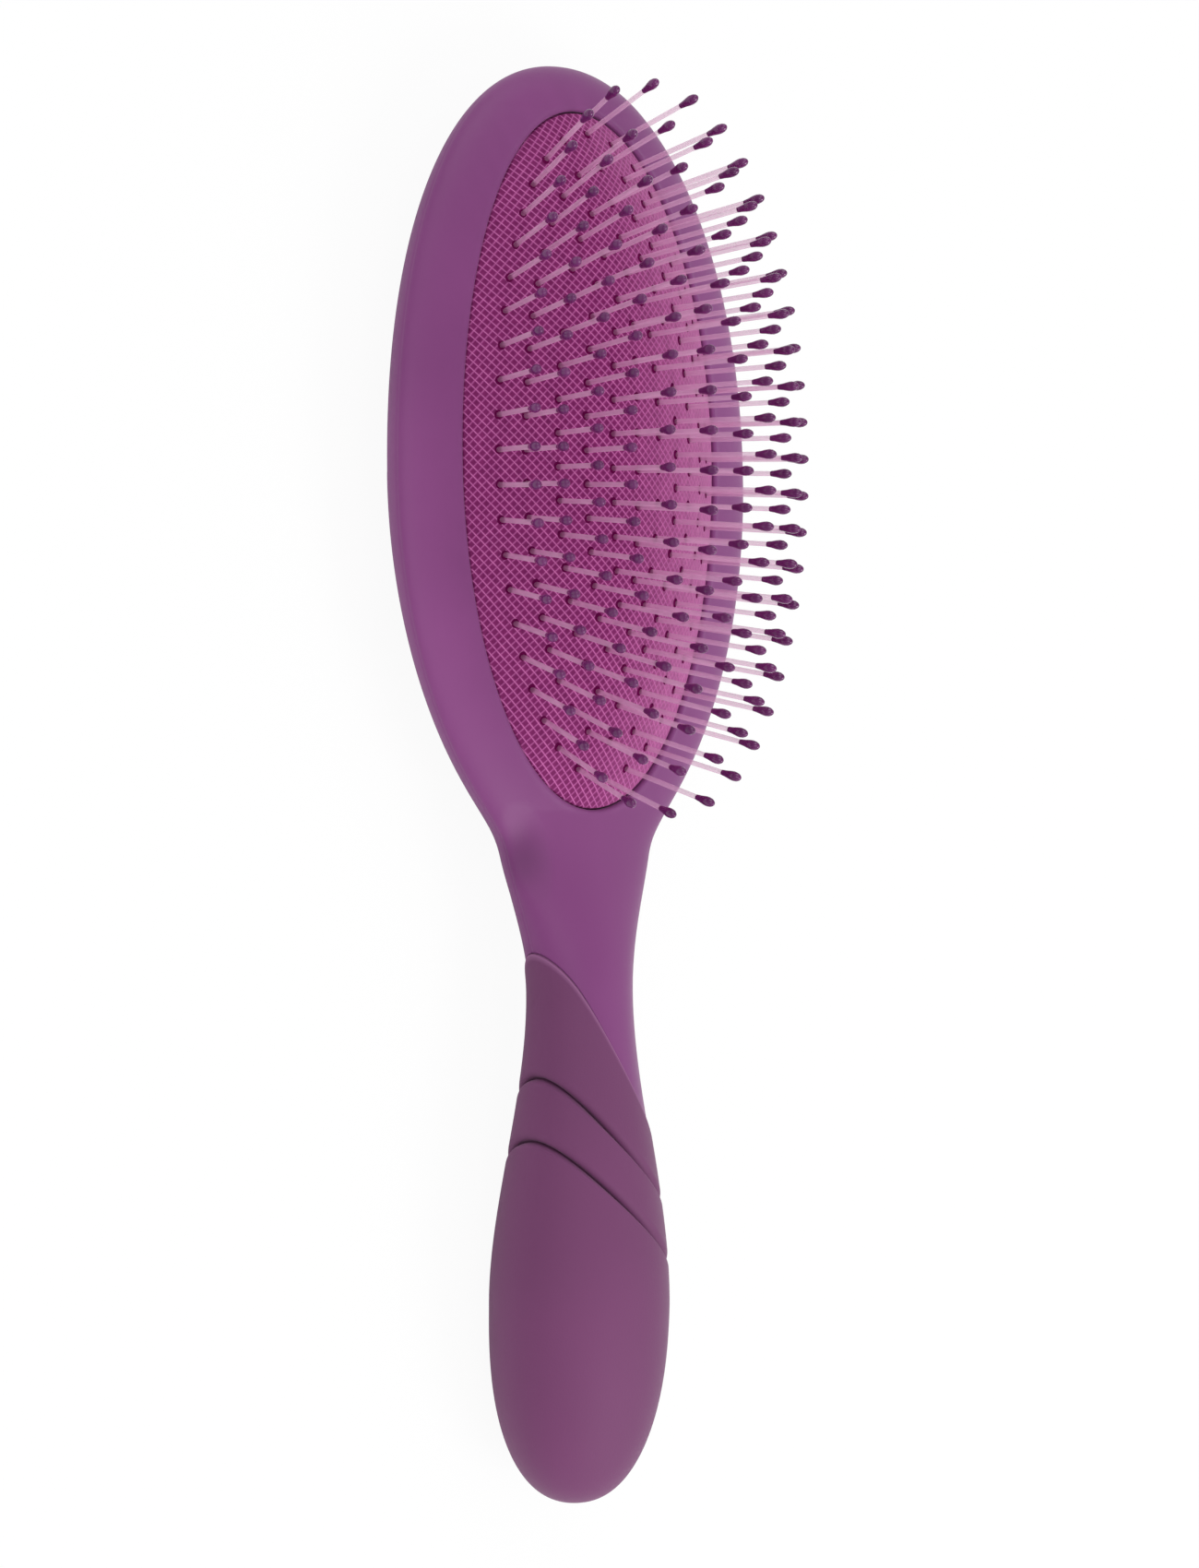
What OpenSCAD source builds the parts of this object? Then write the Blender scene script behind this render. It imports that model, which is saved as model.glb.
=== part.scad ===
// Detangling brush: an oval cushion head on a tapered neck, with a soft rubber sleeve over the handle.
// +X runs along the brush to the head end, +Y across it, +Z out of the bristle face.
// The brush lies on its back, and z = 0 is the surface it lies on. All lengths are millimetres.

/* [Body] */
// Length of the head from its widest point to its end
head_end_l = 65.5; // [60:0.5:70]
// Length from the head's widest point to the narrowest point of the neck
head_neck_l = 82; // [78:0.5:88]
// Length from the narrowest point of the neck to the widest point of the handle's bulb
neck_bulb_l = 50; // [47:0.5:55]
// Length of the bulb from its widest point to the handle's end
bulb_end_l = 31.5; // [29:0.5:34]
// Height of the parting line above the surface under the head
part_z = 13.9; // [13:0.1:15]
// Thickness of the moulded walls
wall = 2.4; // [2:0.1:2.8]
// Depth of the flat lands on which the brush rests
land_d = 0.35; // [0.2:0.05:0.6]

/* [Head] */
// Width of the head
head_w = 75; // [72:0.5:80]
// How far the curve of the head's sides runs on past the pad, into the neck
head_reach_past = 7.9; // [6.5:0.1:10]
// Height of the rim around the pad above the parting line
rim_rise = 4.2; // [3.8:0.1:4.6]
// How far the head's end curls back
head_curl = 2.8; // [1.5:0.1:3.5]

/* [Pad] */
// Width of the rim at the head's end
rim_end_w = 7.6; // [6.8:0.1:9]
// Width of the rim at the head's sides
rim_side_w = 10.2; // [9.4:0.1:11.5]
// Length from the head's widest point to the pad's end at the neck
pad_neck_l = 53.1; // [50:0.1:55]
// Height of the pad's crown above its own edge
pad_crown = 11.2; // [9:0.2:13]
// Depth of the pad's edge below the rim
pad_sink = 0.6; // [0.3:0.1:1.2]
// Thickness of the rubber dome
dome_t = 1.3; // [1:0.1:1.8]
// Thickness of the net facing on the dome
net_t = 0.9; // [0.8:0.1:1.2]
// Width of the flange around the dome
flange_w = 2.5; // [2:0.1:2.8]
// Thickness of the flange
flange_t = 1.4; // [1.2:0.1:1.6]
// Height of the flange's seat above the parting line
seat_rise = 1.8; // [1.7:0.1:2]
// Thickness of the ring that clamps the flange
clamp_t = 2.2; // [1.8:0.1:2.6]

/* [Bristles] */
// Bare margin of the pad past the outer oval of bristles, at the head's end
margin_head = 3.7; // [3.4:0.1:5]
// The same margin at the neck
margin_neck = 5.1; // [4.6:0.1:6]
// The same margin at the sides
margin_side = 4.7; // [4.4:0.1:6]
// Step between the ends of neighbouring ovals
oval_step = 5.7; // [5.5:0.1:5.9]
// Bristles in each oval, the outer one first
oval_counts = [44, 40, 34, 28, 22];
// Bristles in the row along the middle
row_count = 8; // [6:1:8]
// Length left free between the ends of the middle row and of the innermost oval
row_gap = 8.2; // [7.4:0.1:9.4]
// Length of a bristle above the pad, with its tip
bristle_l = 17.7; // [14:0.1:20]
// Thickness of a bristle
bristle_d = 0.8; // [0.7:0.05:1]
// Length of a bristle's tip
tip_l = 3.3; // [2.8:0.1:3.8]
// Diameter of a bristle's tip
tip_d = 1.8; // [1.5:0.1:2]
// Diameter of a tip where it meets the bristle
tip_neck_d = 1; // [0.9:0.05:1.2]
// Outward lean of the outer bristles at the sides, in degrees
lean_side = 23; // [18:0.1:28]
// Lean of the last bristles at the head end, in degrees
lean_head = 22.7; // [18:0.1:28]
// Lean of the last bristles at the handle end, in degrees
lean_handle = 20.1; // [16:0.1:24]
// Lean halfway along, in degrees towards the head
lean_middle = -1.9; // [-4:0.1:2]

/* [Neck] */
// Width of the neck
neck_w = 18.6; // [17:0.2:20]
// Height of the neck above the parting line
neck_rise = 7.6; // [7.2:0.1:8.2]
// Depth of the neck below the parting line
neck_depth = 6.4; // [6:0.1:6.8]
// How far each side of the neck flares towards the head
flare_w = 6.6; // [6:0.1:7]
// Length of that flare
flare_l = 28; // [26:0.5:30]
// Length of the thumb scoop
scoop_l = 13.4; // [12:0.2:15]
// Width of the thumb scoop
scoop_w = 7; // [6:0.2:8]
// Depth of the thumb scoop
scoop_d = 1.3; // [0.8:0.1:1.5]
// Middle of the thumb scoop, from the narrowest point of the neck
scoop_from_neck = 21.7; // [20:0.1:24]
// Place of the thumb scoop around the neck, in degrees above the parting line
scoop_at = 30; // [25:1:40]
// Direction in which the thumb scoop faces, in degrees above the parting line
scoop_faces = 64; // [55:1:70]
// Turn of the thumb scoop's length away from the brush's axis, in degrees
scoop_turn = 16; // [0:1:25]

/* [Handle] */
// Width of the handle's bulb
bulb_w = 30.8; // [30:0.2:33]
// Height of the bulb above the parting line
bulb_rise = 12; // [11.4:0.1:12.6]
// How far the handle's end drops below the parting line
handle_curl = 1.7; // [1:0.1:2.4]

/* [Grip] */
// Thickness of the rubber sleeve
grip_t = 2.2; // [2:0.1:2.5]
// How far the sleeve stands proud of the neck
grip_proud = 0.4; // [0.2:0.05:0.5]
// Middle of the sleeve's slanting edge, behind the narrowest point of the neck
grip_back = 10.3; // [9:0.1:12]
// How far the slanting edge runs to each side of its middle
edge_slant = 16.7; // [15:0.1:18]
// How far the grooves run to each side of their middle
groove_slant = 11.4; // [10:0.1:12]
// Turn of the slant around the handle, in degrees
slant_turn = -3; // [-10:1:10]
// Middles of the two grooves, behind the narrowest point of the neck
groove_backs = [24.8, 34.7];
// Width of a groove's floor, along the handle
groove_w = 0.6; // [0.5:0.1:1]
// Depth of a groove
groove_d = 1.4; // [1:0.1:1.5]
// Width of the rounded lip on a groove's neck side, along the handle
lip_w = 1.9; // [1.6:0.1:2.2]
// Width of the sharper lip on its other side, along the handle
sharp_lip_w = 0.5; // [0.4:0.1:0.8]

/* [Posts] */
// Diameter of a locating peg at its root
peg_d = 2.8; // [2.6:0.1:3]
// Diameter of a locating peg at its end
peg_tip_d = 2.2; // [2:0.1:2.4]
// Length of a locating peg below the parting line
peg_l = 4; // [3.5:0.1:4.5]
// Length of the four pegs beside the pad below the parting line
side_peg_l = 2.4; // [2:0.1:2.6]
// Wall of the sockets around the pegs
socket_wall = 1.1; // [1:0.1:1.3]
// Diameter of the posts under the clamp ring, at their foot
post_d = 4; // [3.4:0.1:4.4]
// Diameter of those posts at their top
post_tip_d = 2.6; // [2.2:0.1:3]

/* [Hidden] */

// Clearances and overruns
overrun = 2;
snug = 0.15;
clamp_gap = 0.05;
edge_gap = 0.35;
facing_gap = 0.25;
peg_gap = 0.15;
end_gap = 0.4;
roof_drop = 0.4;

// Places along the brush: its ends, its widest and narrowest points, and what they carry
body_l = head_end_l + head_neck_l + neck_bulb_l + bulb_end_l;
tip_x = body_l / 2;
end_x = -body_l / 2;
head_x = tip_x - head_end_l;
neck_x = head_x - head_neck_l;
bulb_x = end_x + bulb_end_l;
head_reach = pad_neck_l + head_reach_past;
grip_x = neck_x - grip_back;
groove_places = [for (b = groove_backs) neck_x - b];
scoop_x = neck_x + scoop_from_neck;
back_depth = part_z + land_d;
bulb_depth = mid_z(bulb_x) + land_d;
rim_head_x = tip_x - rim_end_w;
rim_neck_x = head_x - pad_neck_l;
pad_x = (rim_head_x + rim_neck_x) / 2;
pad_rx = (rim_head_x - rim_neck_x) / 2;
pad_ry = head_w / 2 - rim_side_w;
oval_x = pad_x + (margin_neck - margin_head) / 2;
oval_rx = pad_rx - (margin_neck + margin_head) / 2;
oval_ry = pad_ry - margin_side;

// Powers that round the ends of the outlines
head_power_share = 2.1;
bulb_power_share = 2.3;
back_power_share = 2.3;
blend_power_share = 6;
crown_powers_share = [2.2, 3, 2];

// Widths of the ovals of bristles as shares of the outer one, and the slices of facing between them
oval_shares = [1, 0.839, 0.634, 0.435, 0.224];
slice_shares = [1.08, 0.92, 0.737, 0.535, 0.33];
// Part of the ovals' half width over which the sideways lean builds up
lean_reach_share = 0.4;
lean_reach = oval_ry * lean_reach_share;
// Part of the lengthwise lean that comes in only near the ends
lean_bend_share = 0.33;

// Facets around the body, the pad and the slices of facing, and steps along the body
body_turns = 28;
pad_turns = 32;
slice_turns = 14;
arc_steps = 180;
bulb_steps = 8;
grip_steps = 8;
neck_steps = 15;
head_steps = 10;

function smooth(u) = u <= 0 ? 0 : u >= 1 ? 1 : u * u * (3 - 2 * u);
function oval(u, power) = u >= 1 ? 0 : pow(1 - pow(max(u, 0), power), 1 / power);
function mix(a, b, u) = a + (b - a) * u;

// Height of the parting line, which curls down at both ends of the brush
function mid_z(x) = part_z
    - head_curl * pow(max(0, (x - head_x) / (tip_x - head_x)), 2)
    - handle_curl * pow(max(0, (bulb_x - x) / (bulb_x - end_x)), 1.2);

// Half width of the body at x
function head_half(x) = head_w / 2
    * (x >= head_x ? oval((x - head_x) / (tip_x - head_x), head_power_share)
        : oval((head_x - x) / head_reach, 2));
function neck_half(x) = neck_w / 2 + flare_w * smooth((x - neck_x) / flare_l);
function handle_half(x) = x < bulb_x
    ? bulb_w / 2 * oval((bulb_x - x) / (bulb_x - end_x), bulb_power_share)
    : mix(neck_w, bulb_w, smooth((neck_x - x) / (neck_x - bulb_x))) / 2;
function half_w(x) = x >= head_x ? head_half(x)
    : x <= neck_x ? handle_half(x)
    : pow(pow(head_half(x), blend_power_share) + pow(neck_half(x), blend_power_share), 1 / blend_power_share);

// Height of the body above the parting line at x
function opening_half(x) = pad_ry * oval(abs(x - pad_x) / pad_rx, 2);
function rise(x) = x >= rim_head_x ? rim_rise * oval((x - rim_head_x) / (tip_x - rim_head_x), 2)
    : x >= rim_neck_x ? rim_rise / sqrt(1 - pow(opening_half(x) / half_w(x), 2))
    : x >= neck_x ? mix(rim_rise, neck_rise, smooth((rim_neck_x - x) / (rim_neck_x - neck_x)))
    : x >= bulb_x ? mix(neck_rise, bulb_rise, smooth((neck_x - x) / (neck_x - bulb_x)))
    : bulb_rise * oval((bulb_x - x) / (bulb_x - end_x), bulb_power_share);

// Depth of the body below the parting line at x
function depth(x) = x >= head_x
    ? back_depth * sqrt(max(0, 1 - pow((x - head_x) / (tip_x - head_x), back_power_share)))
    : x >= neck_x ? mix(neck_depth, back_depth, smooth((x - neck_x) / (head_x - neck_x)))
    : x >= bulb_x ? mix(neck_depth, bulb_depth, smooth((neck_x - x) / (neck_x - bulb_x)))
    : bulb_depth * oval((bulb_x - x) / (bulb_x - end_x), bulb_power_share);

// The same outline drawn in by g, which stays even at both rounded ends
function drawn_x(x, g) = x > head_x ? head_x + (x - head_x) * (tip_x - head_x) / (tip_x - g - head_x)
    : x < bulb_x ? bulb_x - (bulb_x - x) * (bulb_x - end_x) / (bulb_x - end_x - g) : x;
function drawn(v, head_v, bulb_v, x, g) = x > head_x ? v * (1 - g / head_v)
    : x < bulb_x ? v * (1 - g / bulb_v)
    : v - g;
function in_half(x, g) = drawn(half_w(drawn_x(x, g)), head_w / 2, bulb_w / 2, x, g);
function in_rise(x, g) = drawn(rise(drawn_x(x, g)), rise(head_x), bulb_rise, x, g);
function in_depth(x, g) = drawn(depth(drawn_x(x, g)), back_depth, bulb_depth, x, g);

// A point of that outline at angle t around the brush, never below the surface it rests on plus low
function body_point(x, t, g, low = 0) = let (up = sin(t) >= 0 ? in_rise(x, g) : in_depth(x, g))
    [x, in_half(x, g) * cos(t), max(low, mid_z(x) + up * sin(t))];

// Place along the brush of the slanting ring c at angle t: the slant is that of the grooves, grows towards
// the slanting edge and fades out over the bulb
slant_fade_share = 1.6;
function slant_at(c) = groove_slant * smooth((c - end_x - overrun) / (grip_x - end_x) * slant_fade_share)
    + (edge_slant - groove_slant) * smooth((c - groove_places[0]) / (grip_x - groove_places[0]));
function slant_x(c, t) = c + slant_at(c) * cos(t + slant_turn);

// Evenly spaced steps, and the angles around each half and around the whole
function steps(a, b, n) = [for (i = [0:n]) mix(a, b, i / n)];
upper_angles = [for (i = [0:body_turns / 2]) 360 * i / body_turns];
lower_angles = [for (t = upper_angles) t + 180];
all_angles = [for (i = [0:body_turns - 1]) 360 * i / body_turns];
hollow_angles = [for (t = all_angles) t + 180 / body_turns];

function centre(loop) = [for (k = [0:2]) [for (p = loop) p[k]] * [for (p = loop) 1] / len(loop)];

// A closed skin over a row of loops that all have as many points; each end closes on a point
module skin(loops, first = undef, last = undef) {
    m = len(loops[0]);
    n = len(loops);
    a = is_undef(first) ? centre(loops[0]) : first;
    b = is_undef(last) ? centre(loops[n - 1]) : last;
    polyhedron(
        points = concat([for (loop = loops) each loop], [a, b]),
        faces = concat(
            [for (i = [0:n - 2], j = [0:m - 1]) [i * m + j, i * m + m + j, i * m + m + (j + 1) % m]],
            [for (i = [0:n - 2], j = [0:m - 1]) [i * m + j, i * m + m + (j + 1) % m, i * m + (j + 1) % m]],
            [for (j = [0:m - 1]) [n * m, j, (j + 1) % m]],
            [for (j = [0:m - 1]) [n * m + 1, (n - 1) * m + (j + 1) % m, (n - 1) * m + j]]
        )
    );
}

// Places along the core under the grip, drawn in by g, from the bulb's end to the slanting shoulder
function core_places(g) = concat(
    [for (i = [bulb_steps - 1:-1:1]) mix(bulb_x, end_x + g, sin(90 * i / bulb_steps))],
    steps(bulb_x, grip_x, grip_steps));
body_places = concat([for (i = [bulb_steps - 1:-1:1]) mix(bulb_x, end_x, sin(90 * i / bulb_steps))],
    steps(bulb_x, neck_x, grip_steps), [for (i = [1:neck_steps]) mix(neck_x, head_x, i / neck_steps)],
    [for (i = [1:head_steps - 1]) mix(head_x, tip_x, sin(90 * i / head_steps))]);

// Half of the moulded body, still at its full size under the grip
module body_half(angles) {
    skin([for (x = body_places) [for (t = angles) body_point(x, t, 0)]],
        first = [end_x, 0, mid_z(end_x)],
        last = [tip_x, 0, mid_z(tip_x)]);
}

// Room for the grip: it leaves the core and the slanting shoulder standing
module grip_space() {
    core = core_places(grip_t);
    outer = concat([for (i = [bulb_steps - 1:-1:1]) mix(bulb_x, end_x, sin(90 * i / bulb_steps))],
        steps(bulb_x, grip_x, grip_steps / 2));
    skin(concat(
            [for (c = outer) [for (t = hollow_angles) sleeve_point(c, t, overrun, -overrun)]],
            [for (i = [len(core) - 1:-1:0])
                [for (t = hollow_angles) body_point(slant_x(core[i], t), t, grip_t, grip_t)]]),
        first = [end_x - overrun, 0, mid_z(end_x)],
        last = [end_x + grip_t, 0, mid_z(end_x + grip_t) + roof_drop]);
}

// Draw-in of the hollow inside at x: deeper under the grip
function hollow_in(x) = wall + grip_t * (1 - smooth((x - grip_x - edge_slant) / (flare_l / 2)));
hollow_end = end_x + grip_t + wall;
hollow_tip = tip_x - wall;
hollow_places = concat(
    [for (i = [bulb_steps / 2:-1:1]) mix(bulb_x, hollow_end, sin(90 * i * 2 / (bulb_steps + 2)))],
    steps(bulb_x, head_x, neck_steps),
    [for (i = [1:head_steps - 1]) mix(head_x, hollow_tip, sin(90 * i / head_steps))]);

// The hollow inside the body; in the head its roof lies a little below the seat for the pad's flange
module hollow() {
    skin([for (x = hollow_places) [for (t = hollow_angles) let (
            p = body_point(x, t, hollow_in(x), wall),
            roof = mid_z(x) + mix(rise(x), seat_rise - roof_drop, smooth((x - neck_x) / (rim_neck_x - neck_x))))
            [p.x, p.y, min(p.z, roof)]]],
        first = [hollow_end, 0, mid_z(hollow_end) + roof_drop],
        last = [hollow_tip, 0, mid_z(hollow_tip) + roof_drop]);
}

// An oval plate that follows the curl of the head, from z0 to z1 above the parting line
module oval_plate(rx, ry, z0, z1) {
    n = pad_turns * 3 / 2;
    half = n / 2;
    rim = [for (i = [0:n - 1]) [pad_x + rx * cos(360 * i / n), ry * sin(360 * i / n)]];
    polyhedron(
        points = concat(
            [for (p = rim) [p.x, p.y, mid_z(p.x) + z0]],
            [for (p = rim) [p.x, p.y, mid_z(p.x) + z1]]),
        faces = concat(
            [for (i = [0:n - 1]) [i, n + i, n + (i + 1) % n]],
            [for (i = [0:n - 1]) [i, n + (i + 1) % n, (i + 1) % n]],
            [for (i = [0:half - 2]) [n + i, n + n - i - 1, n + i + 1]],
            [for (i = [1:half - 1]) [n + i, n + n - i, n + n - i - 1]],
            [for (i = [0:half - 2]) [i, i + 1, n - i - 1]],
            [for (i = [1:half - 1]) [i, n - i - 1, n - i]]
        )
    );
}

// Places of the pegs: four along the middle of the neck and handle, four beside the pad
peg_shares = [0.12, 0.38, 0.66, 0.87];
peg_xs = [for (s = peg_shares) mix(rim_neck_x - wall * 3, end_x + grip_t + wall, s)];
side_peg_shares = [-0.42, 0.34];
side_peg_xs = [for (s = side_peg_shares) pad_x + s * pad_rx];
socket_d = peg_d + 2 * peg_gap + 2 * socket_wall;
function side_peg_y(x) = half_w(x) - wall - socket_d / 2;
peg_places = concat([for (x = peg_xs) [x, 0]],
    [for (x = side_peg_xs, side = [-1, 1]) [x, side * side_peg_y(x)]]);

// Height of the outer skin below or above the parting line at a place inside the outline
function skin_share(x, y) = sqrt(max(0, 1 - pow(y / half_w(x), 2)));
function floor_z(x, y) = max(0, mid_z(x) - depth(x) * skin_share(x, y));
function cover_in(x) = x < grip_x + edge_slant ? grip_t : 0;
function peg_top(p) = mid_z(p.x) + rise(p.x) * skin_share(p.x, p.y) - cover_in(p.x) - wall / 2;
function post_foot(p, d) = floor_z(p.x, p.y == 0 ? 0 : abs(p.y) + d / 2) + cover_in(p.x) + wall / 2;

function peg_reach(p) = p.y == 0 ? peg_l : side_peg_l;
module peg(p) {
    hull() {
        translate([p.x, p.y, mid_z(p.x) - peg_reach(p)]) cylinder(h = peg_reach(p), d = peg_tip_d, $fn = 8);
        translate([p.x, p.y, peg_top(p) - wall / 2]) cylinder(h = wall / 2, d = peg_d, $fn = 8);
    }
}

// Scoop for the thumb on the near flank of the neck: a long ball, sunk into the skin
scoop_r = (pow(scoop_w / 2, 2) + pow(scoop_d, 2)) / (2 * scoop_d);
module scoop() {
    p = body_point(scoop_x, scoop_at, 0);
    lift = scoop_r - scoop_d;
    translate([p.x, p.y + lift * cos(scoop_faces), p.z + lift * sin(scoop_faces)])
        rotate([0, 0, scoop_turn])
            scale([scoop_l / scoop_w, 1, 1]) sphere(r = scoop_r, $fn = 32);
}

// Front half of the body: the bezel, the front of the neck and the front of the handle's core
module front_frame() {
    color("#8a4d85")
    union() {
        difference() {
            body_half(upper_angles);
            grip_space();
            hollow();
            oval_plate(pad_rx, pad_ry, -overrun, rim_rise + neck_rise);
            oval_plate(pad_rx + flange_w + snug, pad_ry + flange_w + snug, -overrun, seat_rise);
            scoop();
        }
        for (p = peg_places) peg(p);
    }
}

// Posts that hold the clamp ring up against the flange
post_count = 12;
clamp_top = seat_rise - flange_t - clamp_gap * 2;
clamp_bottom = clamp_top - clamp_t;
function post_place(i) = let (t = 360 * (i + 0.5) / post_count) [pad_x + pad_rx * cos(t), pad_ry * sin(t)];

module clamp_post(p) {
    hull() {
        translate([p.x, p.y, post_foot(p, post_d)]) cylinder(h = wall / 2, d = post_d, $fn = 8);
        translate([p.x, p.y, mid_z(p.x) + clamp_bottom - clamp_gap - wall])
            cylinder(h = wall, d = post_tip_d, $fn = 8);
    }
}

// Back half of the body: the bowl of the head, the back of the neck and of the handle's core
module back_shell() {
    color("#7d4679")
    difference() {
        union() {
            difference() {
                body_half(lower_angles);
                grip_space();
                hollow();
            }
            for (i = [0:post_count - 1]) clamp_post(post_place(i));
            for (p = peg_places) let (foot = post_foot(p, socket_d))
                translate([p.x, p.y, foot])
                    cylinder(h = mid_z(p.x) - clamp_gap - foot, d = socket_d, $fn = 8);
        }
        for (p = peg_places)
            translate([p.x, p.y, mid_z(p.x) - peg_reach(p) - end_gap])
                cylinder(h = peg_reach(p) + end_gap + overrun,
                    d1 = peg_tip_d + 2 * peg_gap, d2 = peg_d + 2 * peg_gap, $fn = 8);
    }
}

// Ring that clamps the pad's flange against its seat
module pad_clamp_ring() {
    color("#6b3a66")
    difference() {
        oval_plate(pad_rx + flange_w - edge_gap, pad_ry + flange_w - edge_gap, clamp_bottom, clamp_top);
        oval_plate(pad_rx - flange_w, pad_ry - flange_w, clamp_bottom - overrun, clamp_top + overrun);
    }
}

// Height of the pad's face at a place inside the opening: a pillow that falls off faster to the head end
function face_z(x, y) = let (
        u = (x - pad_x) / pad_rx,
        v = y / pad_ry,
        r2 = min(1, u * u + v * v),
        along = u > 0 ? crown_powers_share[1] : crown_powers_share[0],
        power = r2 == 0 ? 2 : (along * u * u + crown_powers_share[2] * v * v) / (u * u + v * v))
    mid_z(x) + rim_rise - pad_sink + pad_crown * (1 - pow(r2, power / 2));

// Radii of the pad as shares of the opening, from its edge to its crown
dome_shares = [0.93, 0.8, 0.62, 0.42, 0.2];
function dome_ring(share, down) = [for (i = [0:pad_turns - 1]) let (
        t = 360 * i / pad_turns,
        x = pad_x + pad_rx * share * cos(t),
        y = pad_ry * share * sin(t))
    [x, y, face_z(x, y) - down]];
function flat_ring(out, z) = [for (i = [0:pad_turns - 1]) let (
        t = 360 * i / pad_turns,
        x = pad_x + (pad_rx + out) * cos(t))
    [x, (pad_ry + out) * sin(t), mid_z(x) + z]];

// A closed skin over rings that run from the crown outwards and back underneath
module crowned(rings, top, bottom) {
    skin([for (i = [len(rings) - 1:-1:0]) rings[i]], first = bottom, last = top);
}

// Rubber cushion: a hollow dome with a flange, which is clamped under the rim
module cushion_pad() {
    face_down = net_t + facing_gap;
    color("#8c2f6e")
    crowned(
        concat(
            [for (i = [len(dome_shares) - 1:-1:0]) dome_ring(dome_shares[i], face_down)],
            [flat_ring(-edge_gap * 2, rim_rise - pad_sink - face_down),
                flat_ring(-edge_gap * 2, seat_rise - clamp_gap),
                flat_ring(flange_w, seat_rise - clamp_gap),
                flat_ring(flange_w, seat_rise - clamp_gap - flange_t),
                flat_ring(-edge_gap * 2 - dome_t, seat_rise - clamp_gap - flange_t)],
            [for (share = dome_shares)
                dome_ring(share - edge_gap / dome_t * share / pad_ry, face_down + dome_t)]
        ),
        [pad_x, 0, face_z(pad_x, 0) - face_down],
        [pad_x, 0, face_z(pad_x, 0) - face_down - dome_t]
    );
}

// Angle k of the net facing's slices. They all share these angles, so neighbours meet edge to edge, and the
// angle at which the slices are cut across stands between two bristles.
cut_turn = 2;
function slice_angle(k) = let (a = 180 * k / slice_turns) a - cut_turn * sin(a);

// A band of the net facing between two ovals, over the angles from k0 to k1
function band_point(rx, ry, cx, t, down) = let (x = cx + rx * cos(t), y = ry * sin(t))
    [x, y, face_z(x, y) - down];
function band_loop(inner, outer, t) = [
    band_point(outer[0], outer[1], outer[2], t, net_t),
    band_point(inner[0], inner[1], inner[2], t, net_t),
    band_point(inner[0], inner[1], inner[2], t, 0),
    band_point(outer[0], outer[1], outer[2], t, 0)];
module band(inner, outer, k0, k1) {
    skin([for (k = [k0:k1]) band_loop(inner, outer, slice_angle(k))]);
}

function slice_oval(i) = [oval_rx + oval_step / 2 - oval_step * i - oval_step * 0.17 * (i == 0 ? 1 : 0),
    oval_ry * slice_shares[i], oval_x];
rim_oval = [pad_rx - edge_gap, pad_ry - edge_gap, pad_x];

// Margin of the net facing, between the outer slice and the rim
module net_margin() {
    color("#a3457f")
    union() {
        band(slice_oval(0), rim_oval, 0, slice_turns);
        band(slice_oval(0), rim_oval, slice_turns, 2 * slice_turns);
    }
}

// Arc length along an oval with half axes a and b, against the angle from its handle end
function oval_arcs(a, b, i = 0, s = 0, out = []) = i > arc_steps ? out : let (
        t0 = 180 * i / arc_steps,
        t1 = 180 * (i + 1) / arc_steps,
        d = norm([a * (cos(t1) - cos(t0)), b * (sin(t1) - sin(t0))]))
    oval_arcs(a, b, i + 1, s + d, concat(out, [[s, t0]]));

// Places of the bristles of oval i: evenly spaced, the first at the handle end of the oval
function oval_angle(s, arcs) = let (half = arcs[arc_steps][0])
    s > half ? 360 - lookup(2 * half - s, arcs) : lookup(s, arcs);
function oval_places(i) = let (
        a = oval_rx - oval_step * i,
        b = oval_ry * oval_shares[i],
        arcs = oval_arcs(a, b),
        pitch = 2 * arcs[arc_steps][0] / oval_counts[i])
    [for (j = [0:oval_counts[i] - 1]) let (t = oval_angle(j * pitch, arcs))
        [oval_x - a * cos(t), b * sin(t)]];
row_half = oval_rx - 4 * oval_step - row_gap;
row_places = [for (j = [0:row_count - 1]) [oval_x + row_half * (2 * j / (row_count - 1) - 1), 0]];
function ring_places(i) = i < 4 ? oval_places(i) : concat(oval_places(4), row_places);

// Bristles of ring i in its head half or its handle half: the halves meet where the slices are cut
function cut_x(i) = oval_x + (oval_rx - oval_step * i) * cos(slice_angle(slice_turns / 2));
function half_places(i, head) = [for (p = ring_places(i)) if ((p.x > cut_x(i)) == head) p];

// Turn of a bristle at place p, about Y and then about X
function turn_y(p) = let (v = (p.x - oval_x) / oval_rx)
    mix(lean_middle, (lean_head - lean_handle) / 2, v * v)
    + (lean_head + lean_handle) / 2 * mix(v, pow(v, 3), lean_bend_share);
function lean_y(y) = lean_side * (1 - 2 / (exp(2 * y / lean_reach) + 1));
function turn_x(p) = -atan(tan(lean_y(p.y)) * cos(turn_y(p)));

module at_bristle(p) {
    translate([p.x, p.y, face_z(p.x, p.y)]) rotate([turn_x(p), turn_y(p), 0]) children();
}

// Bristles of ring i, four-sided and straight, standing in their slice of the facing
module bristles(i, head) {
    root = net_t * 0.6;
    k0 = (head ? -1 : 1) * slice_turns / 2;
    color("#e6dfe8")
    union() {
        if (i < 4) band(slice_oval(i + 1), slice_oval(i), k0, k0 + slice_turns);
        else middle_slice(k0);
        for (p = half_places(i, head))
            at_bristle(p) translate([0, 0, -root])
                cylinder(h = bristle_l - tip_l + root, d = bristle_d * sqrt(2), $fn = 4);
    }
}

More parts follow.
